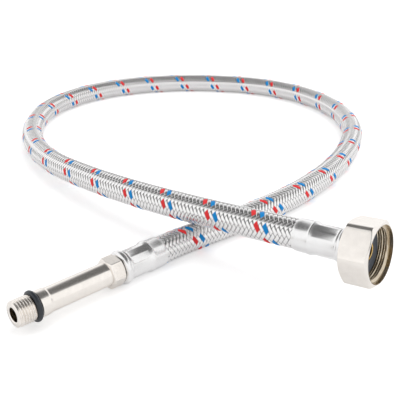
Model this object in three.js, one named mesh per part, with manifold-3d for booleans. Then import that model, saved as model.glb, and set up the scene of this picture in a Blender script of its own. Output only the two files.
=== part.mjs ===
// Braided tap connector hose: a plain M10 tail at one end and a swivel union nut at the other.
// Millimetres, +Z up. The hose lies in one loop on the surface z = 0 and passes over itself once.
import * as THREE from "three";
import { mergeVertices } from "three/addons/utils/BufferGeometryUtils.js";
import Module from "manifold-3d";

const wasm = await Module();
wasm.setup();

// Clearances
const seatGap = 0.3; // between pieces that touch
const swivelGap = 0.35; // round the union nut's back wall, at its narrowest

// Hose
const hoseDiameter = 11.7;
const braidThickness = 0.5;
const linerWall = 1.25;
const hoseSides = 12;
const hoseSteps = 72;

// Hose where the ferrules squeeze it
const hoseSqueeze = 1.1; // off the hose's diameter
const crimpedBraidThickness = 0.4;
const squeezeOverlap = 1.5; // of the squeezed end with the free layer
const squeezeInset = 0.15; // of its root within the free layer's wall

// Ferrules, the same at both ends
const ferruleWall = 0.3;
const ferruleEndPlate = 1;
const beadRise = 1; // over the crimped part
const beadLength = 4.5;
const beadRounding = 1.8;
const crimpLength = 8.1;
const mouthLength = 7.8;
const stepLength = 0.8; // between crimp and mouth

// Stems inside the hose
const barbGap = 0.4; // to the liner
const barbHeight = 0.25;
const barbPitch = 3.6;
const barbCount = 4;
const barbRise = 0.75; // a barb's slope, as a share of the pitch
const stemWall = 0.45;
const neckStep = 0.7; // from the squeezed hose down to the neck in the ferrule's end plate

// M10 tail
const tailHexWidth = 11; // across flats
const tailHexLength = 5.6;
const tailHexTurn = -2; // degrees about the axis, from a flat on top
const shankDiameter = 9.3;
const shankLength = 25.5;
const collarDiameter = 9.9;
const collarLength = 4;
const threadDiameter = 9.9;
const threadLength = 6.6;
const threadChamfer = 0.7;
const ringSection = 1.9; // O-ring
const ringDiameter = 11.7; // outside
const ringFacets = 10; // round the O-ring's section

// Union nut, G1/2, hanging loose on its insert
const nutWidth = 22; // across flats
const nutLength = 11.2;
const nutTurn = -8.5; // degrees about the axis, from a flat on top
const nutBackWall = 1.5;
const nutLip = 0.13; // round the mouth, at the front face
const nutThreadDepth = 1.4; // from the mouth down to the thread's crests
const nutDrop = 0.5; // its axis below the insert's, at the ferrule's outer face
const nutLean = 2.4; // degrees, its mouth up
const cornerChamfer = 30; // degrees
const chamferFace = 0.985; // a hexagon's end face, as a share of its width
const flangeThickness = 1.5;
const flangeClearance = 0.8; // to the thread's crests
const gasketThickness = 2;
const gasketBand = 4.2; // from its hole to its rim

// How far a cutting shape runs past the piece
const overrun = 1;

// Facets round the turned pieces
const roundSides = 36;
const arcSteps = 5;

// Where the two ends lie: a point on the axis at the ferrule's outer face, heading and tilt in degrees
const tailEnd = { place: [47.4, -101.9, 6.99], heading: 261.2, tilt: 1.3 };
const nutEnd = { place: [121.6, -60.6, 23.7], heading: 0, tilt: 4.9 };

// Centre line of the hose between the two ferrules, chosen point by point
const hoseRoute = [
  [53.1, -66.8, 6.1],
  [61.9, -33.8, 5.9],
  [67.5, -0.2, 5.9],
  [67.4, 33.9, 5.9],
  [60.9, 67.4, 5.9],
  [47.5, 98.7, 5.9],
  [24.7, 123.8, 5.9],
  [-5.9, 138.5, 5.9],
  [-39.7, 139.4, 5.9],
  [-71.4, 127.2, 5.9],
  [-98.7, 106.8, 5.9],
  [-119.2, 79.7, 5.9],
  [-128.6, 47.1, 5.9],
  [-123.8, 13.6, 5.9],
  [-105.2, -14.8, 6],
  [-78.6, -36, 6.9],
  [-47.6, -49.8, 9.2],
  [-14.4, -57, 12.1],
  [19.4, -60.9, 15.1],
  [53.4, -62, 18],
  [87.3, -61.2, 20.8],
];

const ferruleLength = beadLength + crimpLength + mouthLength;
const crimpedHoseDiameter = hoseDiameter - hoseSqueeze;
const mouthInside = hoseDiameter + 2 * seatGap;
const crimpInside = crimpedHoseDiameter + 2 * seatGap;
const mouthDiameter = mouthInside + 2 * ferruleWall;
const crimpDiameter = crimpInside + 2 * ferruleWall;
const beadDiameter = crimpDiameter + 2 * beadRise;
const crimpEnd = beadLength + crimpLength; // from the ferrule's outer face
const cutEnd = ferruleEndPlate + seatGap; // where the hose is cut off, from the same face
const tubeStart = crimpEnd + 2 * stepLength + seatGap; // where the free hose starts, inside the mouth
const linerDiameter = hoseDiameter - 2 * (braidThickness + seatGap);
const braidInside = hoseDiameter - 2 * braidThickness;
const waterBore = linerDiameter - 2 * linerWall;
const barbDiameter = waterBore - 2 * barbGap;
const stemDiameter = barbDiameter - 2 * barbHeight;
const stemBore = stemDiameter - 2 * stemWall;
const neckDiameter = crimpedHoseDiameter - 2 * neckStep;

const nutFaceDiameter = chamferFace * nutWidth;
const nutMouthDiameter = nutFaceDiameter - 2 * nutLip;
const nutCrestDiameter = nutMouthDiameter - 2 * nutThreadDepth;

// Room that the loose nut takes up as it leans, over half the width of a face inside it
const flangeDiameter = nutCrestDiameter - 2 * flangeClearance;
const leanRoom = (flangeDiameter / 2) * Math.sin(THREE.MathUtils.degToRad(nutLean));
const nutBack = swivelGap + leanRoom / 2;
const backHoleDiameter = neckDiameter + 2 * (swivelGap + nutDrop);
const flangeBack = nutBack + nutBackWall + swivelGap + leanRoom;
const flangeFront = flangeBack + flangeThickness;
const gasketBack = flangeFront + seatGap + leanRoom;
const gasketDiameter = flangeDiameter;

const steel = { color: 0xc9cac9, roughness: 0.3, metalness: 1 };
const nickel = { color: 0xcfc8c0, roughness: 0.22, metalness: 1 };
const brass = { color: 0xd0a048, roughness: 0.3, metalness: 1 };
const blackRubber = { color: 0x2c3036, roughness: 0.55, metalness: 0 };
const greyRubber = { color: 0x3f444b, roughness: 0.7, metalness: 0 };

function namedMesh(name, geometry, look) {
  const mesh = new THREE.Mesh(geometry, new THREE.MeshStandardMaterial(look));
  mesh.name = name;
  return mesh;
}

// A turned piece about the x axis, from an outline of [x, radius] points.
// The outline is closed here, unless it starts and ends on the axis.
function turned(outline, sides = roundSides) {
  const points = outline.map(([x, radius]) => new THREE.Vector2(radius, x));
  const onAxis = points[0].x === 0;
  if (!onAxis) points.push(points[0].clone());
  if (THREE.ShapeUtils.area(points) < 0) points.reverse();
  return new THREE.LatheGeometry(points, sides).rotateZ(-Math.PI / 2);
}

// Points along an arc of the outline, from one angle to another in degrees.
function arc(x, radius, size, from, to) {
  const points = [];
  for (let step = 0; step <= arcSteps; step++) {
    const angle = THREE.MathUtils.degToRad(from + ((to - from) * step) / arcSteps);
    points.push([x + size * Math.cos(angle), radius + size * Math.sin(angle)]);
  }
  return points;
}

function toSolid(geometry) {
  const bare = geometry.clone();
  bare.deleteAttribute("normal");
  bare.deleteAttribute("uv");
  const welded = mergeVertices(bare, 1e-4);
  return new wasm.Manifold(
    new wasm.Mesh({
      numProp: 3,
      vertProperties: new Float32Array(welded.attributes.position.array),
      triVerts: new Uint32Array(welded.index.array),
    }),
  );
}

function toGeometry(solid) {
  const mesh = solid.getMesh();
  const geometry = new THREE.BufferGeometry();
  geometry.setAttribute("position", new THREE.BufferAttribute(mesh.vertProperties, 3));
  geometry.setIndex(new THREE.BufferAttribute(mesh.triVerts, 1));
  geometry.computeVertexNormals();
  return geometry;
}

// An end's own frame: x points out of the hose, x = 0 is the ferrule's outer face.
function endFrame({ place, heading, tilt }) {
  const frame = new THREE.Group();
  frame.position.set(...place);
  const turn = THREE.MathUtils.degToRad(heading);
  const rise = THREE.MathUtils.degToRad(tilt);
  frame.rotation.set(0, -rise, turn, "ZYX");
  frame.updateMatrixWorld(true);
  return frame;
}

const tailFrame = endFrame(tailEnd);
const nutFrame = endFrame(nutEnd);

// The hose's centre line, straight where it leaves each ferrule.
function centreLine() {
  const onAxis = (frame, x) => frame.localToWorld(new THREE.Vector3(x, 0, 0));
  const leads = [tubeStart, ferruleLength];
  const tailLead = leads.map((x) => onAxis(tailFrame, -x));
  const nutLead = leads.map((x) => onAxis(nutFrame, -x)).reverse();
  const middle = hoseRoute.map((point) => new THREE.Vector3(...point));
  return new THREE.CatmullRomCurve3([...tailLead, ...middle, ...nutLead], false, "centripetal");
}

// One layer of the hose: a ring section along the centre line.
function hoseLayer(outside, inside) {
  const ring = new THREE.Shape();
  const hole = new THREE.Path();
  for (let side = 0; side < hoseSides; side++) {
    const angle = (2 * Math.PI * side) / hoseSides;
    const outer = [(outside / 2) * Math.cos(angle), (outside / 2) * Math.sin(angle)];
    const inner = [(inside / 2) * Math.cos(angle), (inside / 2) * Math.sin(angle)];
    if (side === 0) {
      ring.moveTo(...outer);
      hole.moveTo(...inner);
    } else {
      ring.lineTo(...outer);
      hole.lineTo(...inner);
    }
  }
  ring.closePath();
  hole.closePath();
  ring.holes.push(hole);
  return new THREE.ExtrudeGeometry(ring, { steps: hoseSteps, extrudePath: centreLine() });
}

// A layer's squeezed end inside a ferrule. It starts within the wall of the free layer.
function squeezedEnd(freeOutside, freeInside, outside, inside) {
  const rootX = -tubeStart - squeezeOverlap;
  const taperX = -tubeStart + seatGap;
  return turned([
    [rootX, freeInside / 2 + squeezeInset],
    [taperX, freeInside / 2 + squeezeInset],
    [-crimpEnd - stepLength, inside / 2],
    [-cutEnd, inside / 2],
    [-cutEnd, outside / 2],
    [-crimpEnd - stepLength, outside / 2],
    [taperX, freeOutside / 2 - squeezeInset],
    [rootX, freeOutside / 2 - squeezeInset],
  ]);
}

function wholeLayer(outside, inside, crimpedOutside, crimpedInside) {
  let solid = toSolid(hoseLayer(outside, inside));
  for (const frame of [tailFrame, nutFrame]) {
    const end = squeezedEnd(outside, inside, crimpedOutside, crimpedInside);
    solid = solid.add(toSolid(end.applyMatrix4(frame.matrixWorld)));
  }
  return toGeometry(solid);
}

function braidSleeve() {
  const crimpedInside = crimpedHoseDiameter - 2 * crimpedBraidThickness;
  return wholeLayer(hoseDiameter, braidInside, crimpedHoseDiameter, crimpedInside);
}

function innerTube() {
  const crimpedOutside = crimpedHoseDiameter - 2 * (crimpedBraidThickness + seatGap);
  return wholeLayer(linerDiameter, waterBore, crimpedOutside, waterBore);
}

// A crimped sleeve: rounded bead with an end plate, squeezed part, wide mouth over the braid.
function ferrule() {
  const plateHole = neckDiameter / 2 + seatGap;
  const bead = beadDiameter / 2;
  const rounding = arc(-beadRounding, bead - beadRounding, beadRounding, 0, 90);
  return turned([
    [0, plateHole],
    ...rounding,
    [-beadLength + stepLength, bead],
    [-beadLength, crimpDiameter / 2],
    [-crimpEnd, crimpDiameter / 2],
    [-crimpEnd - stepLength, mouthDiameter / 2],
    [-ferruleLength, mouthDiameter / 2],
    [-ferruleLength, mouthInside / 2],
    [-crimpEnd - 1.5 * stepLength, mouthInside / 2],
    [-crimpEnd - 0.5 * stepLength, crimpInside / 2],
    [-ferruleEndPlate, crimpInside / 2],
    [-ferruleEndPlate, plateHole],
  ]);
}

// The barbed stem inside the hose, from its tip to the neck in the ferrule's end plate.
function stemOutline() {
  const tipX = -cutEnd - barbCount * barbPitch;
  const outline = [[tipX, stemBore / 2]];
  for (let barb = 0; barb < barbCount; barb++) {
    const x = tipX + barb * barbPitch;
    outline.push([x, stemDiameter / 2], [x + barbRise * barbPitch, barbDiameter / 2]);
  }
  const shoulder = -ferruleEndPlate - seatGap / 2;
  outline.push([shoulder, stemDiameter / 2], [shoulder + seatGap, neckDiameter / 2]);
  return outline;
}

// The swivel nut's carrier: stem, neck and the flange that draws the washer down.
function nutEndInsert() {
  return turned([
    ...stemOutline(),
    [flangeBack, neckDiameter / 2],
    [flangeBack, flangeDiameter / 2],
    [flangeFront, flangeDiameter / 2],
    [flangeFront, stemBore / 2],
  ]);
}

// A hexagon prism along x with its corners turned off, before its bore is cut.
function chamferedHex(width, from, to, turn) {
  const sides = 6;
  const corner = width / 2 / Math.cos(Math.PI / sides);
  const outline = new THREE.Shape();
  for (let side = 0; side < sides; side++) {
    const angle = (2 * Math.PI * side) / sides + THREE.MathUtils.degToRad(turn);
    const point = [corner * Math.cos(angle), corner * Math.sin(angle)];
    if (side === 0) outline.moveTo(...point);
    else outline.lineTo(...point);
  }
  outline.closePath();
  const prism = new THREE.ExtrudeGeometry(outline, { depth: to - from, bevelEnabled: false });
  prism.rotateY(Math.PI / 2).rotateX(Math.PI / 2).translate(from, 0, 0);
  const face = (chamferFace * width) / 2;
  const widest = corner + overrun;
  const depth = (widest - face) * Math.tan(THREE.MathUtils.degToRad(cornerChamfer));
  const cutter = [
    [from, 0],
    [from, face],
    [from + depth, widest],
    [to - depth, widest],
    [to, face],
    [to, 0],
  ];
  return toSolid(prism).intersect(toSolid(turned(cutter)));
}

function unionNut() {
  const back = nutBack;
  const front = back + nutLength;
  const hex = chamferedHex(nutWidth, back, front, nutTurn);
  const threadStart = back + nutBackWall;
  const bore = turned([
    [back - overrun, 0],
    [back - overrun, backHoleDiameter / 2],
    [threadStart, backHoleDiameter / 2],
    [threadStart, nutCrestDiameter / 2],
    [front - nutThreadDepth, nutCrestDiameter / 2],
    [front + overrun, nutMouthDiameter / 2 + overrun],
    [front + overrun, 0],
  ]);
  return toGeometry(hex.subtract(toSolid(bore)));
}

function flatGasket() {
  const front = gasketBack + gasketThickness;
  const hole = gasketDiameter / 2 - gasketBand;
  return turned([
    [gasketBack, hole],
    [gasketBack, gasketDiameter / 2],
    [front, gasketDiameter / 2],
    [front, hole],
  ]);
}

// Distances along the tail, from the ferrule's outer face
const tailHexStart = seatGap;
const shankStart = tailHexStart + tailHexLength;
const collarStart = shankStart + shankLength;
const grooveStart = collarStart + collarLength;
const threadStartX = grooveStart + ringSection + 2 * seatGap;
const tailLength = threadStartX + threadLength;

function m10Tail() {
  const grooveRadius = ringDiameter / 2 - ringSection - seatGap;
  const thread = threadDiameter / 2;
  const body = toSolid(
    turned([
      ...stemOutline(),
      [tailHexStart, neckDiameter / 2],
      [shankStart, shankDiameter / 2],
      [collarStart, shankDiameter / 2],
      [collarStart, collarDiameter / 2],
      [grooveStart, collarDiameter / 2],
      [grooveStart, grooveRadius],
      [threadStartX, grooveRadius],
      [threadStartX, thread],
      [tailLength - threadChamfer, thread],
      [tailLength, thread - threadChamfer],
      [tailLength, stemBore / 2],
    ]),
  );
  const hex = chamferedHex(tailHexWidth, tailHexStart, shankStart, tailHexTurn);
  const bore = toSolid(
    turned([
      [-ferruleLength, 0],
      [-ferruleLength, stemBore / 2],
      [tailLength + overrun, stemBore / 2],
      [tailLength + overrun, 0],
    ]),
  );
  return toGeometry(body.add(hex.subtract(bore)));
}

function oRing() {
  const middle = grooveStart + seatGap + ringSection / 2;
  const turnRadius = (ringDiameter - ringSection) / 2;
  const ring = new THREE.TorusGeometry(turnRadius, ringSection / 2, ringFacets, roundSides);
  return ring.rotateY(Math.PI / 2).translate(middle, 0, 0);
}

const hose = new THREE.Group();
hose.add(namedMesh("inner_tube", innerTube(), blackRubber));
hose.add(namedMesh("braid_sleeve", braidSleeve(), steel));

tailFrame.add(namedMesh("tail_end_ferrule", ferrule(), steel));
tailFrame.add(namedMesh("m10_tail", m10Tail(), nickel));
tailFrame.add(namedMesh("o_ring", oRing(), blackRubber));

nutFrame.add(namedMesh("nut_end_ferrule", ferrule(), steel));
nutFrame.add(namedMesh("nut_end_insert", nutEndInsert(), brass));

const looseFrame = new THREE.Group();
looseFrame.position.set(0, 0, -nutDrop);
looseFrame.rotation.set(0, -THREE.MathUtils.degToRad(nutLean), 0);
looseFrame.add(namedMesh("union_nut", unionNut(), nickel));
looseFrame.add(namedMesh("flat_gasket", flatGasket(), greyRubber));
nutFrame.add(looseFrame);

const tapConnector = new THREE.Group();
tapConnector.add(hose, tailFrame, nutFrame);

export default tapConnector;
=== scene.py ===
# A braided tap connector on a white table: one loop of hose, a swivel nut at one end
# and a long M10 tail at the other
import math

import bmesh
import bpy
from mathutils import Matrix, Vector


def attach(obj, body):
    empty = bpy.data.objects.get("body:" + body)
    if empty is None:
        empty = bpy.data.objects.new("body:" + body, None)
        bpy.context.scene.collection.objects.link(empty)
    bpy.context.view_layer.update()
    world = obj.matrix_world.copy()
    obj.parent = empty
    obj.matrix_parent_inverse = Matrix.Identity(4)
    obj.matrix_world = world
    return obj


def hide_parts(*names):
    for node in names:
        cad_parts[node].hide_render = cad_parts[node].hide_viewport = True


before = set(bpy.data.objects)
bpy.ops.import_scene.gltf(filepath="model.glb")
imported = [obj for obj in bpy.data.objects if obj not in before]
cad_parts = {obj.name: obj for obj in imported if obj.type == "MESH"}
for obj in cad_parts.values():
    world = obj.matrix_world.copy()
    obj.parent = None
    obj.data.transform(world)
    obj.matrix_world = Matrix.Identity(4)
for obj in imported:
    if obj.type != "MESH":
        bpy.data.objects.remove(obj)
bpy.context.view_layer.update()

mm = 0.001

camera = {
    "place": (0.20129, -0.25248, 0.14105),
    "towards": (-0.54351, 0.71393, -0.44148),
    "lens": 59.15,
    "sensor": 36.0,
    "clipStart": 0.01,
}


def addCamera():
    data = bpy.data.cameras.new("photoCamera")
    data.lens = camera["lens"]
    data.sensor_width = camera["sensor"]
    data.clip_start = camera["clipStart"]
    eye = bpy.data.objects.new("photoCamera", data)
    eye.location = camera["place"]
    eye.rotation_euler = Vector(camera["towards"]).to_track_quat("-Z", "Y").to_euler()
    bpy.context.scene.collection.objects.link(eye)
    bpy.context.scene.camera = eye


addCamera()
print("camera set")

# The two ends: a point on the axis at the ferrule's outer face, in metres and degrees
tailEnd = {"place": (0.0474, -0.1019, 0.00699), "heading": 261.2, "tilt": 1.3}
nutEnd = {"place": (0.1216, -0.0606, 0.0237), "heading": 0.0, "tilt": 4.9}

# The nut hangs loose on its insert: its axis lies lower by half a millimetre and leans up
looseNut = {"drop": 0.0005, "lean": 2.4}

# Sizes from here on are in millimetres. Along an end's own axis they count from the ferrule's
# outer face. A list of pairs gives rings near one corner: the way along the axis and outwards
ferrule = {
    "length": 20.4,
    "plate": 1,
    "plateHole": 4.9,
    "beadLength": 4.5,
    "beadRadius": 6.9,
    "beadMiddle": 1.5,
    "beadRounding": 1.4,
    "beadArc": (10, 150),  # degrees
    "beadFoot": [(-3.05, 0.42), (-3.35, 0.18), (-3.75, 0.05)],  # over the crimp
    "crimpLength": 8.1,
    "crimpRadius": 5.9,
    "crimpInside": 5.4,
    "flatStart": 4.6,
    "flatEnd": 0.5,  # before the crimp's end
    "crimpSides": 12,
    "crestFoot": [(0.1, 0.06), (-0.2, 0.2)],  # from the crimp's end
    "crestRadius": 6.55,
    "crestMiddle": 1.1,  # past the crimp's end
    "crestRounding": 0.6,
    "crestArc": (50, 130),
    "crestBack": [(-1.75, 0.08), (-2.1, 0.0)],
    "mouthRadius": 6.3,
    "mouthInside": 5.98,
    "mouthLip": [(1.9, 0.0), (0.9, -0.05), (0.2, -0.16), (0.0, -0.22)],
    "mouthSlope": (1.2, 0.4),  # where the inside narrows, past the crimp's end
}

hose = {
    "diameter": 11.7,
    "freeStart": 14.5,  # inside the ferrule's mouth, from its outer face
    "coreRadius": 5.25,
    "coreSides": 24,
    "steps": 1600,
    "every": 4,  # steps between the core's rings
    "route": [
        (0.0531, -0.0668, 0.0061),
        (0.0619, -0.0338, 0.0059),
        (0.0675, -0.0002, 0.0059),
        (0.0674, 0.0339, 0.0059),
        (0.0609, 0.0674, 0.0059),
        (0.0475, 0.0987, 0.0059),
        (0.0247, 0.1238, 0.0059),
        (-0.0059, 0.1385, 0.0059),
        (-0.0397, 0.1394, 0.0059),
        (-0.0714, 0.1272, 0.0059),
        (-0.0987, 0.1068, 0.0059),
        (-0.1192, 0.0797, 0.0059),
        (-0.1286, 0.0471, 0.0059),
        (-0.1238, 0.0136, 0.0059),
        (-0.1052, -0.0148, 0.0060),
        (-0.0786, -0.0360, 0.0069),
        (-0.0476, -0.0498, 0.0092),
        (-0.0144, -0.0570, 0.0121),
        (0.0194, -0.0609, 0.0151),
        (0.0534, -0.0620, 0.0180),
        (0.0873, -0.0612, 0.0208),
    ],  # metres
}

braid = {
    "strands": 12,  # of each hand
    "lay": 22.72,
    "width": 1.53,
    "thickness": 0.3,
    "tracerWidth": 1.75,
    "tracerLift": 0.06,
    "samplesPerCrossing": 3,
    # The section's points: across in widths, height in half thicknesses, place among the wires
    "section": [
        (-0.5, -0.6, 0.0),
        (-0.47, 0.6, 0.08),
        (-0.24, 1.0, 0.6),
        (0.24, 1.0, 1.4),
        (0.47, 0.6, 1.92),
        (0.5, -0.6, 2.0),
    ],
    "wires": 7,
    "inset": 1,  # from the hose's end to the strand's
    "markStart": 11.5,  # first red mark, from the tail ferrule's mouth
    "markAngle": 15.4,  # degrees about the axis, from the top
    "rowShift": 7.5,  # degrees that the rows of crossings lie beside the marks
    "twist": [-3.4, 8.1, 0.7, -2.3, -2.6],  # degrees, at even steps along the hose
    "red": 0,
    "blue": 10,
}


def endMatrix(end):
    turn = Matrix.Rotation(math.radians(end["heading"]), 4, "Z")
    rise = Matrix.Rotation(-math.radians(end["tilt"]), 4, "Y")
    return Matrix.Translation(end["place"]) @ turn @ rise


tailMatrix = endMatrix(tailEnd)
insertMatrix = endMatrix(nutEnd)
nutMatrix = (
    insertMatrix
    @ Matrix.Translation((0, 0, -looseNut["drop"]))
    @ Matrix.Rotation(-math.radians(looseNut["lean"]), 4, "Y")
)


def onAxis(matrix, x):
    return matrix @ Vector((x * mm, 0, 0))


def smoothThrough(points, steps):
    # A centripetal spline through the points, as the CAD draws it
    before = points[0] * 2 - points[1]
    after = points[-1] * 2 - points[-2]
    full = [before] + points + [after]
    least = 1e-6  # so that two points in one place don't divide by nothing
    smooth = []
    for step in range(steps + 1):
        place = step / steps * (len(points) - 1)
        index = min(int(place), len(points) - 2)
        t = place - index
        a, b, c, d = full[index : index + 4]
        gaps = [max((q - p).length ** 0.5, least) for p, q in ((a, b), (b, c), (c, d))]
        leave = (b - a) / gaps[0] - (c - a) / (gaps[0] + gaps[1]) + (c - b) / gaps[1]
        arrive = (c - b) / gaps[1] - (d - b) / (gaps[1] + gaps[2]) + (d - c) / gaps[2]
        leave, arrive = leave * gaps[1], arrive * gaps[1]
        cubic = b * 2 - c * 2 + leave + arrive
        square = c * 3 - b * 3 - leave * 2 - arrive
        smooth.append(b + leave * t + square * t * t + cubic * t**3)
    return smooth


def buildLine():
    # The hose's middle line at even steps, and its length
    tailLead = [onAxis(tailMatrix, -x) for x in (hose["freeStart"], ferrule["length"])]
    nutLead = [onAxis(insertMatrix, -x) for x in (ferrule["length"], hose["freeStart"])]
    points = tailLead + [Vector(p) for p in hose["route"]] + nutLead
    count = hose["steps"]
    smooth = smoothThrough(points, count)
    along = [0.0]
    for p, q in zip(smooth, smooth[1:]):
        along.append(along[-1] + (q - p).length / mm)
    even, index = [], 0
    for step in range(count + 1):
        want = along[-1] * step / count
        while index < len(smooth) - 2 and along[index + 1] < want:
            index += 1
        share = (want - along[index]) / (along[index + 1] - along[index])
        even.append(smooth[index].lerp(smooth[index + 1], min(max(share, 0), 1)))
    return even, along[-1]


def carriedFrames(points):
    # Direction, up and side at each point, carried along without twist
    directions = []
    for index in range(len(points)):
        a = points[max(index - 1, 0)]
        b = points[min(index + 1, len(points) - 1)]
        directions.append((b - a).normalized())
    up = Vector((0, 0, 1))
    carried = []
    for direction in directions:
        up = (up - direction * up.dot(direction)).normalized()
        carried.append((direction, up.copy(), direction.cross(up)))
    return carried


line, lineLength = buildLine()
frames = carriedFrames(line)
print("hose line drawn:", round(lineLength, 1), "mm")


def hosePoint(along, angle, radius):
    # A point on the hose: distance along it, angle from the carried up, and radius
    place = min(max(along / lineLength, 0), 1) * (len(line) - 1)
    index = min(int(place), len(line) - 2)
    t = place - index
    centre = line[index].lerp(line[index + 1], t)
    up = frames[index][1].lerp(frames[index + 1][1], t)
    side = frames[index][2].lerp(frames[index + 1][2], t)
    return centre + (up * math.cos(angle) + side * math.sin(angle)) * (radius * mm)


def addPiece(name, vertices, faces, uvs, material, sharp=None, body="hose"):
    mesh = bpy.data.meshes.new(name)
    mesh.from_pydata(vertices, [], faces)
    layer = mesh.uv_layers.new(name="surface")
    layer.data.foreach_set("uv", uvs)
    mesh.shade_smooth()
    if sharp is not None:
        shell = bmesh.new()
        shell.from_mesh(mesh)
        bmesh.ops.recalc_face_normals(shell, faces=shell.faces)
        shell.to_mesh(mesh)
        shell.free()
        mesh.set_sharp_from_angle(angle=math.radians(sharp))
    mesh.materials.append(material)
    piece = bpy.data.objects.new(name, mesh)
    bpy.context.scene.collection.objects.link(piece)
    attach(piece, body)
    return piece


def ringFaces(rings, sides, closed=True):
    # Quads between rings of points. Closed, the last ring joins the first
    faces = []
    last = rings if closed else rings - 1
    for ring in range(last):
        low, high = ring * sides, ((ring + 1) % rings) * sides
        for side in range(sides):
            after = (side + 1) % sides
            faces.append((low + side, low + after, high + after, high + side))
    return faces


def ringUvs(values, sides, closed=True):
    # The same quads in the surface layer: u once round, v from each ring's own value
    uvs = []
    rings = len(values)
    last = rings if closed else rings - 1
    for ring in range(last):
        low, high = values[ring], values[(ring + 1) % rings]
        for side in range(sides):
            here, after = side / sides, (side + 1) / sides
            uvs.extend((here, low, after, low, after, high, here, high))
    return uvs


roundSides = 96
evenAngles = [2 * math.pi * side / roundSides for side in range(roundSides)]
uvLength = 10  # millimetres along the axis for a step of one in v


def addTurned(name, loop, matrix, material, sharp=40, body="hose", angles=evenAngles):
    # A closed outline about the end's axis: each ring is (x, radius) or a function of the angle
    vertices, values = [], []
    for ring in loop:
        for angle in angles:
            x, radius = ring(angle) if callable(ring) else ring
            place = Vector((x, radius * math.cos(angle), radius * math.sin(angle))) * mm
            vertices.append(tuple(matrix @ place))
        values.append(x / uvLength)
    sides = len(angles)
    faces = ringFaces(len(loop), sides)
    return addPiece(name, vertices, faces, ringUvs(values, sides), material, sharp, body)


def arcRings(x, radius, size, start, stop, steps=8):
    rings = []
    for step in range(steps + 1):
        angle = math.radians(start + (stop - start) * step / steps)
        rings.append((x + size * math.cos(angle), radius + size * math.sin(angle)))
    return rings


def cornerRings(x, radius, offsets):
    # Rings near one corner of an outline
    return [(x + along, radius + out) for along, out in offsets]


finishes = {
    "wire": {
        "dark": (0.06, 0.058, 0.058),
        "light": (0.86, 0.85, 0.85),
        "roughness": (0.18, 0.24),
        # Painted shade, by wire, by distance from the strand's edge, and by height in the weave:
        # where the painted shade starts and ends, and how much of the light colour is left at its
        # start
        "paintedShade": [(0, 1, 0.9), (0, 0.15, 0.6), (-0.15, 0.32, 0.0)],
    },
    "red": {
        "dark": (0.55, 0.012, 0.016),
        "light": (0.88, 0.035, 0.04),
        "roughness": (0.4, 0.55),
        "paintedShade": [(0, 1, 0.8), (0, 0.2, 0.3), (-0.3, 0.3, 0.3)],
    },
    "blue": {
        "dark": (0.0, 0.14, 0.42),
        "light": (0.0, 0.27, 0.7),
        "roughness": (0.4, 0.55),
        "paintedShade": [(0, 1, 0.8), (0, 0.2, 0.3), (-0.3, 0.3, 0.3)],
    },
    "sleeve": {
        "dark": (0.8, 0.795, 0.795),
        "light": (0.88, 0.875, 0.875),
        "roughness": (0.2, 0.3),
    },
    "nickel": {
        "dark": (0.8, 0.755, 0.71),
        "light": (0.92, 0.88, 0.835),
        "roughness": (0.16, 0.28),
    },
    "brass": {
        "dark": (0.7, 0.45, 0.14),
        "light": (0.88, 0.62, 0.24),
        "roughness": (0.14, 0.26),
    },
    "cut": {
        "dark": (0.46, 0.38, 0.27),
        "light": (0.74, 0.66, 0.54),
        "roughness": (0.16, 0.3),
    },
    "ring": {
        "dark": (0.012, 0.015, 0.02),
        "light": (0.03, 0.036, 0.045),
        "roughness": (0.3, 0.42),
    },
    "washer": {
        "dark": (0.05, 0.058, 0.07),
        "light": (0.1, 0.11, 0.13),
        "roughness": (0.5, 0.7),
    },
    "liner": {
        "dark": (0.008, 0.008, 0.009),
        "light": (0.025, 0.025, 0.027),
        "roughness": (0.5, 0.7),
    },
}

# Noise scales, and the strength and depth of the bumps, in metres
strandSkin = {"specular": 0.3, "grain": 500, "bump": 0.15, "depth": 0.00004}
turnedSkin = {
    "cloud": 350,
    "marks": 60,
    "markDetail": 4.0,
    "markStretch": (0.15, 9, 1),
    "markBump": 0.12,
    "grain": 1400,
    "grainBump": 0.1,
    "depth": 0.00004,
}
rubberSkin = {"grain": 1800, "bump": 0.2, "depth": 0.00005}


def newFinish(name, metallic):
    look = finishes[name]
    material = bpy.data.materials.new(name)
    material.use_nodes = True
    tree = material.node_tree
    shader = tree.nodes["Principled BSDF"]
    shader.inputs["Metallic"].default_value = metallic
    shader.inputs["Roughness"].default_value = look["roughness"][0]
    shader.inputs["Base Color"].default_value = (*look["light"], 1)
    return look, material, tree, shader


def addNode(tree, kind, **values):
    # A value goes to the socket of its name, or else to the node's own setting
    node = tree.nodes.new(kind)
    for key, value in values.items():
        if key in node.inputs:
            node.inputs[key].default_value = value
        else:
            setattr(node, key, value)
    return node


def mathOf(tree, operation, *values):
    # A maths node on sockets and plain numbers
    node = addNode(tree, "ShaderNodeMath", operation=operation)
    for socket, value in zip(node.inputs, values):
        if isinstance(value, (int, float)):
            socket.default_value = value
        else:
            tree.links.new(value, socket)
    return node.outputs[0]


def spread(tree, value, source=(0, 1), result=(0, 1), smooth=False):
    # Carries the value from one range to another
    node = addNode(tree, "ShaderNodeMapRange")
    if smooth:
        node.interpolation_type = "SMOOTHSTEP"
    node.inputs["From Min"].default_value, node.inputs["From Max"].default_value = source
    node.inputs["To Min"].default_value, node.inputs["To Max"].default_value = result
    tree.links.new(value, node.inputs["Value"])
    return node.outputs["Result"]


def varyColour(tree, shader, factor, look):
    mix = addNode(tree, "ShaderNodeMix", data_type="RGBA")
    mix.inputs[6].default_value = (*look["dark"], 1)  # the node's colour sockets are 6 and 7
    mix.inputs[7].default_value = (*look["light"], 1)
    tree.links.new(factor, mix.inputs[0])
    tree.links.new(mix.outputs[2], shader.inputs["Base Color"])


def varyRoughness(tree, shader, factor, look):
    tree.links.new(spread(tree, factor, result=look["roughness"]), shader.inputs["Roughness"])


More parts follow.
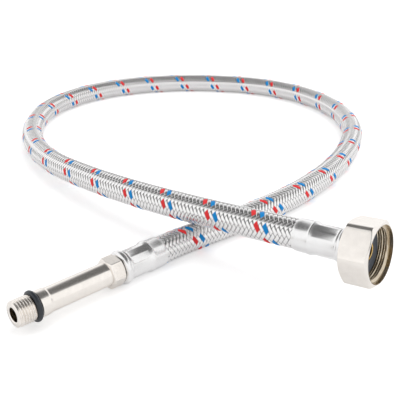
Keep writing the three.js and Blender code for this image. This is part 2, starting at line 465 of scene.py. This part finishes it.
def addBump(tree, shader, height, strength, distance):
    bump = addNode(tree, "ShaderNodeBump", Strength=strength, Distance=distance)
    tree.links.new(height, bump.inputs["Height"])
    tree.links.new(bump.outputs["Normal"], shader.inputs["Normal"])


def noiseOn(tree, scale, detail=3.0, stretch=None, source="Object"):
    where = addNode(tree, "ShaderNodeTexCoord").outputs[source]
    noise = addNode(tree, "ShaderNodeTexNoise", Scale=scale, Detail=detail)
    if stretch is not None:
        mapping = addNode(tree, "ShaderNodeMapping", Scale=stretch)
        tree.links.new(where, mapping.inputs["Vector"])
        where = mapping.outputs["Vector"]
    tree.links.new(where, noise.inputs["Vector"])
    return noise.outputs["Fac"]


def strandFinish(name, metallic):
    # Fine wires side by side, with painted shade between the wires, at the strand's edges
    # and where it dips under the next ones
    look, material, tree, shader = newFinish(name, metallic)
    shader.inputs["Specular IOR Level"].default_value = strandSkin["specular"]
    uv = addNode(tree, "ShaderNodeUVMap", uv_map="surface")
    split = addNode(tree, "ShaderNodeSeparateXYZ")
    tree.links.new(uv.outputs["UV"], split.inputs["Vector"])
    arches = []
    for turns in (math.pi, math.pi / braid["wires"]):
        angle = mathOf(tree, "MULTIPLY", split.outputs["Y"], turns)
        arches.append(mathOf(tree, "ABSOLUTE", mathOf(tree, "SINE", angle)))
    # Painted shade: darker between the wires, towards the strand's edges and where it lies low in
    # the weave
    paintedShade = None
    for value, (start, end, least) in zip((*arches, split.outputs["X"]), look["paintedShade"]):
        part = spread(tree, value, (start, end), (least, 1), smooth=True)
        paintedShade = part if paintedShade is None else mathOf(tree, "MULTIPLY", paintedShade, part)
    varyColour(tree, shader, paintedShade, look)
    addBump(tree, shader, arches[0], strandSkin["bump"], strandSkin["depth"])
    varyRoughness(tree, shader, noiseOn(tree, strandSkin["grain"]), look)
    return material


def turnedFinish(name):
    # Turned or drawn metal: fine marks round the axis, a slight cloud in tone and an uneven skin
    skin = turnedSkin
    look, material, tree, shader = newFinish(name, 1.0)
    varyColour(tree, shader, noiseOn(tree, skin["cloud"]), look)
    marks = noiseOn(tree, skin["marks"], skin["markDetail"], skin["markStretch"], "UV")
    varyRoughness(tree, shader, marks, look)
    grain = noiseOn(tree, skin["grain"])
    height = mathOf(tree, "MULTIPLY_ADD", grain, skin["grainBump"] / skin["markBump"], marks)
    addBump(tree, shader, height, skin["markBump"], skin["depth"])
    return material


def rubberFinish(name):
    look, material, tree, shader = newFinish(name, 0.0)
    grain = noiseOn(tree, rubberSkin["grain"])
    varyColour(tree, shader, grain, look)
    varyRoughness(tree, shader, grain, look)
    addBump(tree, shader, grain, rubberSkin["bump"], rubberSkin["depth"])
    return material


wireSteel = strandFinish("wire", 1.0)
redThread = strandFinish("red", 0.0)
blueThread = strandFinish("blue", 0.0)
sleeveSteel = turnedFinish("sleeve")
nickel = turnedFinish("nickel")
brass = turnedFinish("brass")
cutBrass = turnedFinish("cut")
ringRubber = rubberFinish("ring")
washerRubber = rubberFinish("washer")
linerRubber = rubberFinish("liner")
print("finishes made")


def addCore():
    # The dark liner that shows between the strands, closed at both ends
    sides = hose["coreSides"]
    places = list(range(0, hose["steps"] + 1, hose["every"]))
    vertices, values = [], []
    for index in places:
        along = lineLength * index / hose["steps"]
        for side in range(sides):
            angle = 2 * math.pi * side / sides
            vertices.append(tuple(hosePoint(along, angle, hose["coreRadius"])))
        values.append(along / uvLength)
    faces = ringFaces(len(places), sides, closed=False)
    uvs = ringUvs(values, sides, closed=False)
    end = (len(places) - 1) * sides
    for cap in (range(sides - 1, -1, -1), range(end, end + sides)):
        faces.append(tuple(cap))
        uvs.extend([0.0, 0.0] * sides)
    return addPiece("hose_core", vertices, faces, uvs, linerRubber, sharp=60)


core = addCore()


def twistAt(along):
    # How far the braid is turned on the hose, between the places where the twist is given
    turns = braid["twist"]
    place = min(max(along / lineLength, 0), 1) * (len(turns) - 1)
    index = min(int(place), len(turns) - 2)
    return math.radians(turns[index] + (turns[index + 1] - turns[index]) * (place - index))


def strandPoints(hand, number, width, lift):
    # One flat strand of the weave, two over and two under, as rings round its section
    lay, count, inset = braid["lay"], braid["strands"], braid["inset"]
    step = lay / (2 * count * braid["samplesPerCrossing"])
    rise = braid["thickness"] / 2
    middle = hose["diameter"] / 2 - 2 * rise + lift
    slope = math.atan2(2 * math.pi * middle, lay)
    mouth = ferrule["length"] - hose["freeStart"]
    shift = math.radians(braid["rowShift"])
    lead = lay * shift / (2 * math.pi)
    vertices, waves = [], []
    for index in range(int((lineLength - 2 * inset) / step) + 1):
        s = inset - mouth + index * step
        for across, height, _ in braid["section"]:
            offset = across * width
            skewed = s - hand * offset * math.sin(slope)
            u = skewed - braid["markStart"] + lead
            turn = hand * 2 * math.pi * (s - braid["markStart"] + lead) / lay
            turn += 2 * math.pi * number / count + offset * math.cos(slope) / middle
            crossed = count / 2 * turn / math.pi + hand * count * u / lay
            wave = hand * math.cos(math.pi / 2 * (number + crossed - 0.5))
            level = math.sin(math.pi / 2 * math.sin(math.pi / 2 * wave))
            radius = middle + rise * level + rise * height
            along = skewed + mouth
            angle = turn + math.radians(braid["markAngle"]) - shift + twistAt(along)
            vertices.append(tuple(hosePoint(along, angle, radius)))
            waves.append(wave)
    return vertices, waves


def addStrands(name, numbers, material, width=braid["width"], lift=0.0):
    # In the surface layer, u is how high the strand lies in the weave and v counts the wires
    vertices, faces, uvs = [], [], []
    sides = len(braid["section"])
    wireAt = [place * braid["wires"] / 2 for _, _, place in braid["section"]]
    for hand, number in numbers:
        points, waves = strandPoints(hand, number, width, lift)
        first = len(vertices)
        vertices.extend(points)
        rings = len(points) // sides
        for quad in ringFaces(rings, sides, closed=False):
            faces.append(tuple(first + corner for corner in quad))
            for corner in quad:
                uvs.extend((waves[corner], wireAt[corner % sides]))
        last = first + (rings - 1) * sides
        faces.append(tuple(range(first + sides - 1, first - 1, -1)))
        faces.append(tuple(range(last, last + sides)))
        uvs.extend([0.0, 0.0] * (2 * sides))
    return addPiece(name, vertices, faces, uvs, material)


tracers = (braid["red"], braid["blue"])
tracerShape = {"width": braid["tracerWidth"], "lift": braid["tracerLift"]}
plainRight = [(1, number) for number in range(braid["strands"]) if number not in tracers]
plainLeft = [(-1, number) for number in range(braid["strands"])]

# The plain strands of each hand are two pieces, which keeps each one light
strands = [
    addStrands("braid_right_1", plainRight[:5], wireSteel),
    addStrands("braid_right_2", plainRight[5:], wireSteel),
    addStrands("braid_left_1", plainLeft[:6], wireSteel),
    addStrands("braid_left_2", plainLeft[6:], wireSteel),
    addStrands("red_tracer", [(1, braid["red"])], redThread, **tracerShape),
    addStrands("blue_tracer", [(1, braid["blue"])], blueThread, **tracerShape),
]
for piece in strands:
    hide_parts("braid_sleeve")
print("braid woven:", len(strands), "pieces")

sixth = math.radians(60)
hexSteps = {"round": 8, "flat": 10}  # points round each corner and along each flat

# The soft edge of a hexagon's chamfer, in shares of the edge's own size
chamfer = {
    "face": (0.2, 0.2),
    "cones": (1.6, 0.8),
    "least": 0.35,
    "inset": 0.15,
    "flats": (1, 2),
}


def cornerSpan(hexagon):
    # Half the angle that a rounded corner takes up
    half, rounding = hexagon["width"] / 2, hexagon["rounding"]
    return sixth / 2 - math.atan2((half - rounding) * math.tan(sixth / 2), half)


def hexRadius(angle, hexagon):
    # Distance from the axis to a hexagon with rounded corners
    half, rounding = hexagon["width"] / 2, hexagon["rounding"]
    corner = (angle - math.radians(hexagon["turn"]) + sixth / 2) % sixth - sixth / 2
    centre = (half - rounding) / math.cos(sixth / 2)
    if abs(corner) < cornerSpan(hexagon):
        aside = centre * math.sin(corner)
        return centre * math.cos(corner) + math.sqrt(rounding**2 - aside**2)
    return half / math.cos(sixth / 2 - abs(corner))


def hexAngles(hexagon):
    # Angles that fall on the corners' rounding and evenly along the flats
    edge = cornerSpan(hexagon)
    onRound, onFlat = hexSteps["round"], hexSteps["flat"]
    angles = []
    for side in range(6):
        middle = math.radians(hexagon["turn"]) + side * sixth
        for step in range(onRound):
            angles.append(middle - edge + 2 * edge * step / onRound)
        for step in range(onFlat):
            angles.append(middle + edge + (sixth - 2 * edge) * step / onFlat)
    return angles


def hexRings(hexagon):
    # The outside of a chamfered hexagon from its back face to its front one
    faceRadius, soft = hexagon["faceRadius"], hexagon["edge"]
    fall = math.tan(math.radians(hexagon["slope"]))

    def chamferDepth(angle):
        return (hexRadius(angle, hexagon) - faceRadius) * fall

    def flat(face, way, x, inset=0.0):
        def ring(angle):
            reach = hexRadius(angle, hexagon)
            return face + way * (chamferDepth(angle) + x), reach - inset
        return ring

    def cone(face, way, x):
        def ring(angle):
            depth = max(chamferDepth(angle) - x, soft * chamfer["least"])
            return face + way * depth, faceRadius + depth / fall
        return ring

    def corner(face, way):
        inwards, outwards = chamfer["face"]
        rings = [(face, faceRadius - soft)]
        rings += [(face + way * soft * inwards, faceRadius + soft * outwards)]
        rings += [cone(face, way, soft * share) for share in chamfer["cones"]]
        rings += [flat(face, way, 0, soft * chamfer["inset"])]
        return rings + [flat(face, way, soft * share) for share in chamfer["flats"]]

    return corner(hexagon["back"], 1) + corner(hexagon["front"], -1)[::-1]


ringsPerPitch = 12


def threadRings(start, stop, crest, root, pitch, fade, lead, sharpness):
    # A right-handed helix: the radius swings from root to crest, and is the root at both ends
    count = int(abs(stop - start) / pitch * ringsPerPitch)
    rings = []

    def ringAt(x):
        def ring(angle):
            phase = 2 * math.pi * (x - start) / pitch - angle + math.radians(lead)
            high = 0.5 + 0.5 * math.cos(phase)
            near = min(abs(x - start), abs(stop - x)) / fade
            return x, root + (crest - root) * high**sharpness * min(near, 1)
        return ring

    for step in range(count + 1):
        rings.append(ringAt(start + (stop - start) * step / count))
    return rings


unionNut = {
    "hexagon": {
        "width": 22.1,
        "turn": -8.5,
        "rounding": 2.0,
        "back": 0.53,
        "front": 11.73,
        "faceRadius": 10.85,
        "slope": 30,
        "edge": 0.26,
    },
    "backWall": 1.5,
    "backHole": 5.45,
    "mouth": 10.72,
    "mouthBevel": [(0.0, 0.0), (-0.1, -0.1)],
    "counterbore": 1.4,
    "counterboreTaper": 0.12,
    "threadRunIn": 0.05,
    "threadRunOut": 0.6,
    "thread": {
        "crest": 9.45,
        "root": 10.4,
        "pitch": 1.814,
        "fade": 0.3,
        "lead": 89,
        "sharpness": 1.3,
    },
}

m10Tail = {
    "hexagon": {
        "width": 11.0,
        "turn": -2,
        "rounding": 0.35,
        "back": 0.3,
        "front": 5.9,
        "faceRadius": 5.35,
        "slope": 30,
        "edge": 0.1,
    },
    "shankRadius": 4.65,
    "shankFoot": [(0.0, 0.25), (0.1, 0.07), (0.35, 0.0)],
    "collarStart": 31.4,
    "collarEnd": 35.4,
    "collarRadius": 4.95,
    "collarFoot": [(-0.4, 0.0), (0.0, 0.04)],  # over the shank
    "collarRise": [(0.35, -0.04), (0.6, 0.0)],  # under the collar's radius
    "collarEdge": [(-0.1, 0.0), (0.0, -0.1)],
    "grooveRadius": 3.6,
    "threadStart": 37.9,
    "threadShoulder": 0.3,
    "threadRunIn": 0.1,
    "threadRunOut": 0.6,
    "threadEnd": 44.5,
    "thread": {
        "crest": 4.95,
        "root": 4.35,
        "pitch": 1.0,
        "fade": 0.4,
        "lead": 0.0,
        "sharpness": 1.0,
    },
    "endBevel": [(-0.3, -0.21), (-0.1, -0.6), (0.0, -0.75)],  # under the thread's crest
    "boreLip": [(0.0, 0.25), (-0.25, 0.0)],
}

# The stems of the tail and the insert inside the hose are alike
stem = {
    "start": -15.0,
    "radius": 3.3,
    "neckStart": -1.3,
    "neckFull": -1.1,
    "neckRadius": 4.6,
    "bore": 2.7,
}

oRing = {"middle": 36.65, "section": 1.9, "outside": 11.7, "sides": 24}

insert = {
    "flangeBack": 2.73,
    "flangeFront": 4.23,
    "flangeRadius": 8.5,
    "flangeEdge": 0.15,
    "spigotRadius": 3.45,
    "spigotFront": 7.4,
    "spigotFoot": [(0.0, 0.1), (0.1, 0.0)],
    "spigotNose": [(-0.3, 0.0), (-0.08, -0.08), (0.0, -0.3)],
    "boreLip": 0.15,
}

gasket = {"back": 4.89, "front": 6.89, "radius": 8.5, "hole": 4.3, "edge": 0.25}


def pressedRing(x, radius):
    # The press leaves shallow flats round the sleeve
    half = math.pi / ferrule["crimpSides"]

    def ring(angle):
        return x, radius * math.cos(half) / math.cos(angle % (2 * half) - half)
    return ring


def addFerrule(name, matrix, node):
    # Rolled bead by the fitting, pressed crimp, then a raised crest and a mouth that hugs the braid
    f = ferrule
    crimp, outside, inside = f["crimpRadius"], f["mouthRadius"], f["mouthInside"]
    beadCentre = f["beadRadius"] - f["beadRounding"]
    crestCentre = f["crestRadius"] - f["crestRounding"]
    crimpEnd, end = -(f["beadLength"] + f["crimpLength"]), -f["length"]
    wide, narrow = f["mouthSlope"]
    loop = [(0, f["plateHole"]), (0, beadCentre)]
    loop += arcRings(-f["beadMiddle"], beadCentre, f["beadRounding"], *f["beadArc"])
    loop += cornerRings(0, crimp, f["beadFoot"])
    loop += [pressedRing(-f["flatStart"], crimp), pressedRing(crimpEnd + f["flatEnd"], crimp)]
    loop += cornerRings(crimpEnd, crimp, f["crestFoot"])
    loop += arcRings(crimpEnd - f["crestMiddle"], crestCentre, f["crestRounding"], *f["crestArc"])
    loop += cornerRings(crimpEnd, outside, f["crestBack"])
    loop += cornerRings(end, outside, f["mouthLip"])
    loop += [(end, inside), (crimpEnd - wide, inside), (crimpEnd - narrow, f["crimpInside"])]
    loop += [(-f["plate"], f["crimpInside"]), (-f["plate"], f["plateHole"])]
    piece = addTurned(name, loop, matrix, sleeveSteel)
    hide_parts(node)
    return piece


def cutInside(piece, firstRing, sides):
    # The bore is bare metal from this ring on
    piece.data.materials.append(cutBrass)
    for face in piece.data.polygons:
        if face.index >= firstRing * sides:
            face.material_index = 1


def addNut():
    n, hexagon = unionNut, unionNut["hexagon"]
    mouthFace, wallFront = hexagon["front"], hexagon["back"] + n["backWall"]
    counterboreEnd = mouthFace - n["counterbore"]
    loop = [(hexagon["back"], n["backHole"])] + hexRings(hexagon)
    boreStart = len(loop)
    loop += cornerRings(mouthFace, n["mouth"], n["mouthBevel"])
    loop += [(counterboreEnd, n["mouth"] - n["counterboreTaper"])]
    threadStart, threadEnd = counterboreEnd - n["threadRunIn"], wallFront + n["threadRunOut"]
    loop += threadRings(threadStart, threadEnd, **n["thread"])
    loop += [(wallFront, n["thread"]["crest"]), (wallFront, n["backHole"])]
    angles = hexAngles(hexagon)
    piece = addTurned(
        "union_nut_plated", loop, nutMatrix, nickel, body="nut", angles=angles
    )
    cutInside(piece, boreStart, len(angles))
    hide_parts("union_nut")


def stemRings(end):
    # The stem from its open end in the hose up to the fitting, at the place given
    neck = stem["neckRadius"]
    loop = [(stem["start"], stem["bore"]), (stem["start"], stem["radius"])]
    return loop + [(stem["neckStart"], stem["radius"]), (stem["neckFull"], neck), (end, neck)]


def addTail():
    t, hexagon, crest = m10Tail, m10Tail["hexagon"], m10Tail["thread"]["crest"]
    shank, collar, groove = t["shankRadius"], t["collarRadius"], t["grooveRadius"]
    threadStart, threadEnd = t["threadStart"], t["threadEnd"]
    loop = stemRings(hexagon["back"]) + hexRings(hexagon)
    loop += cornerRings(hexagon["front"], shank, t["shankFoot"])
    loop += cornerRings(t["collarStart"], shank, t["collarFoot"])
    loop += cornerRings(t["collarStart"], collar, t["collarRise"])
    loop += cornerRings(t["collarEnd"], collar, t["collarEdge"])
    loop += [(t["collarEnd"], groove), (threadStart, groove)]
    loop += [(threadStart, crest - t["threadShoulder"])]
    threadSpan = (threadStart + t["threadRunIn"], threadEnd - t["threadRunOut"])
    loop += threadRings(*threadSpan, **t["thread"])
    loop += cornerRings(threadEnd, crest, t["endBevel"])
    loop += cornerRings(threadEnd, stem["bore"], t["boreLip"])
    angles = hexAngles(hexagon)
    piece = addTurned("m10_tail_plated", loop, tailMatrix, nickel, angles=angles)
    cutInside(piece, len(loop) - 1, len(angles))
    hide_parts("m10_tail")
    return piece


def addORing():
    size, sides = oRing["section"] / 2, oRing["sides"]
    centre = oRing["outside"] / 2 - size
    loop = arcRings(oRing["middle"], centre, size, 0, 360 - 360 / sides, sides - 1)
    piece = addTurned("rubber_o_ring", loop, tailMatrix, ringRubber, sharp=80)
    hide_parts("o_ring")
    return piece


def addInsert():
    i = insert
    back, front = i["flangeBack"], i["flangeFront"]
    flange, edge = i["flangeRadius"], i["flangeEdge"]
    loop = stemRings(back)
    loop += [(back, flange - edge), (back + edge, flange)]
    loop += [(front - edge, flange), (front, flange - edge)]
    loop += cornerRings(front, i["spigotRadius"], i["spigotFoot"])
    loop += cornerRings(i["spigotFront"], i["spigotRadius"], i["spigotNose"])
    loop += [(i["spigotFront"] - i["boreLip"], stem["bore"])]
    piece = addTurned("brass_insert", loop, insertMatrix, brass)
    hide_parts("nut_end_insert")


def addGasket():
    g = gasket
    loop = []
    for x, radius, start in (
        (g["front"], g["radius"], 0),
        (g["back"], g["radius"], 90),
        (g["back"], g["hole"], 180),
        (g["front"], g["hole"], 270),
    ):
        inX = x - g["edge"] if x == g["front"] else x + g["edge"]
        inRadius = radius - g["edge"] if radius == g["radius"] else radius + g["edge"]
        loop += arcRings(inX, inRadius, g["edge"], start, start + 90, steps=4)
    piece = addTurned(
        "grey_washer", loop, nutMatrix, washerRubber, sharp=60, body="nut"
    )
    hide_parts("flat_gasket")


tailFerrule = addFerrule("tail_sleeve", tailMatrix, "tail_end_ferrule")
addFerrule("nut_sleeve", insertMatrix, "nut_end_ferrule")
tail = addTail()
ring = addORing()
addNut()
addInsert()
addGasket()
print("end fittings made")

# The liner is inside the braid and the sleeves, so it keeps its CAD shape
liner = bpy.data.objects["inner_tube"]
for slot in liner.material_slots:
    slot.material = linerRubber

# A white table in a white room, in metres. Three strengths are for the camera's rays, for those
# mirrored or refracted, and for all others
studio = {
    "floorSize": 2.6,
    "floorColour": (0.86, 0.86, 0.86),
    "floorGlow": (0.42, 0.17, 0.0),
    "ceilingPlace": (0.0, -0.1, 1.1),
    "ceilingOutline": [
        (-1.7, 0.3),
        (-1.1, -0.5),
        (-0.35, -0.85),
        (0.5, -1.25),
        (1.2, -1.1),
        (0.85, 0.0),
        (0.65, 0.75),
        (0.5, 1.7),
        (-1.2, 1.7),
    ],
    "ceilingTones": (0.17, 0.85),  # over the hose, and further out
    "ceilingFade": (0.7, 1.8),  # distances from the middle between which the tone changes
    "roomColour": (1, 1, 1),
    "room": (1.0, 1.13, 0.45),
    "lampTarget": (0, 0, 0),
}

lamps = {
    "keySoftbox": {"place": (0.95, 0.35, 0.72), "size": (1.1, 0.9), "power": 4.2},
    "fillSoftbox": {"place": (-0.6, -0.85, 0.75), "size": (1.3, 0.9), "power": 3.6},
    "topSoftbox": {"place": (0.1, 0.2, 1.0), "size": (0.8, 0.8), "power": 3.5},
}


def strengthByRay(tree, seen, mirrored, rest):
    path = addNode(tree, "ShaderNodeLightPath")
    glossy, through = path.outputs["Is Glossy Ray"], path.outputs["Is Transmission Ray"]
    lower = spread(tree, mathOf(tree, "MAXIMUM", glossy, through), result=(rest, mirrored))
    strength = addNode(tree, "ShaderNodeMix", data_type="FLOAT")
    strength.inputs[3].default_value = seen  # the node's float sockets are 2 and 3
    tree.links.new(path.outputs["Is Camera Ray"], strength.inputs[0])
    tree.links.new(lower, strength.inputs[2])
    return strength.outputs[0]


def addPanel(name, corners, finish):
    # A flat panel with an empty material
    mesh = bpy.data.meshes.new(name)
    mesh.from_pydata([(x, y, 0) for x, y in corners], [], [tuple(range(len(corners)))])
    panel = bpy.data.objects.new(name, mesh)
    bpy.context.scene.collection.objects.link(panel)
    material = bpy.data.materials.new(finish)
    material.use_nodes = True
    material.node_tree.nodes.clear()
    mesh.materials.append(material)
    return panel, material.node_tree


def addGlow(tree, strength):
    glow = addNode(tree, "ShaderNodeEmission")
    tree.links.new(strength, glow.inputs["Strength"])
    return glow.outputs[0]


def finishPanel(tree, surface):
    out = addNode(tree, "ShaderNodeOutputMaterial")
    tree.links.new(surface, out.inputs["Surface"])


def addFloor():
    half = studio["floorSize"] / 2
    corners = [(-half, -half), (half, -half), (half, half), (-half, half)]
    floor, tree = addPanel("floor", corners, "whiteTable")
    diffuse = addNode(tree, "ShaderNodeBsdfDiffuse", Color=(*studio["floorColour"], 1))
    both = addNode(tree, "ShaderNodeAddShader")
    tree.links.new(diffuse.outputs[0], both.inputs[0])
    tree.links.new(addGlow(tree, strengthByRay(tree, *studio["floorGlow"])), both.inputs[1])
    finishPanel(tree, both.outputs[0])


def addCeiling():
    # A dark ceiling that only reflections see, for the dark bands in the metal
    ceiling, tree = addPanel("ceiling", studio["ceilingOutline"], "darkCeiling")
    ceiling.location = studio["ceilingPlace"]
    ceiling.visible_camera = False
    ceiling.visible_diffuse = False
    ceiling.visible_shadow = False
    where = addNode(tree, "ShaderNodeTexCoord")
    distance = addNode(tree, "ShaderNodeVectorMath", operation="LENGTH")
    tree.links.new(where.outputs["Object"], distance.inputs[0])
    tone = spread(
        tree, distance.outputs["Value"], studio["ceilingFade"], studio["ceilingTones"], smooth=True
    )
    finishPanel(tree, addGlow(tree, tone))


def addWorld():
    world = bpy.data.worlds.new("whiteRoom")
    world.use_nodes = True
    tree = world.node_tree
    back = tree.nodes["Background"]
    tree.links.new(strengthByRay(tree, *studio["room"]), back.inputs["Strength"])
    back.inputs["Color"].default_value = (*studio["roomColour"], 1)
    bpy.context.scene.world = world


def addLamp(name, place, size, power):
    data = bpy.data.lights.new(name, "AREA")
    data.shape = "RECTANGLE"
    data.size, data.size_y = size
    data.energy = power
    lamp = bpy.data.objects.new(name, data)
    lamp.location = place
    towards = Vector(studio["lampTarget"]) - Vector(place)
    lamp.rotation_euler = towards.to_track_quat("-Z", "Y").to_euler()
    lamp.visible_glossy = False  # the highlights come from the white room
    bpy.context.scene.collection.objects.link(lamp)


addFloor()
addCeiling()
addWorld()
for name, lamp in lamps.items():
    addLamp(name, **lamp)
bpy.context.scene.view_settings.view_transform = "Standard"
print("studio lit")
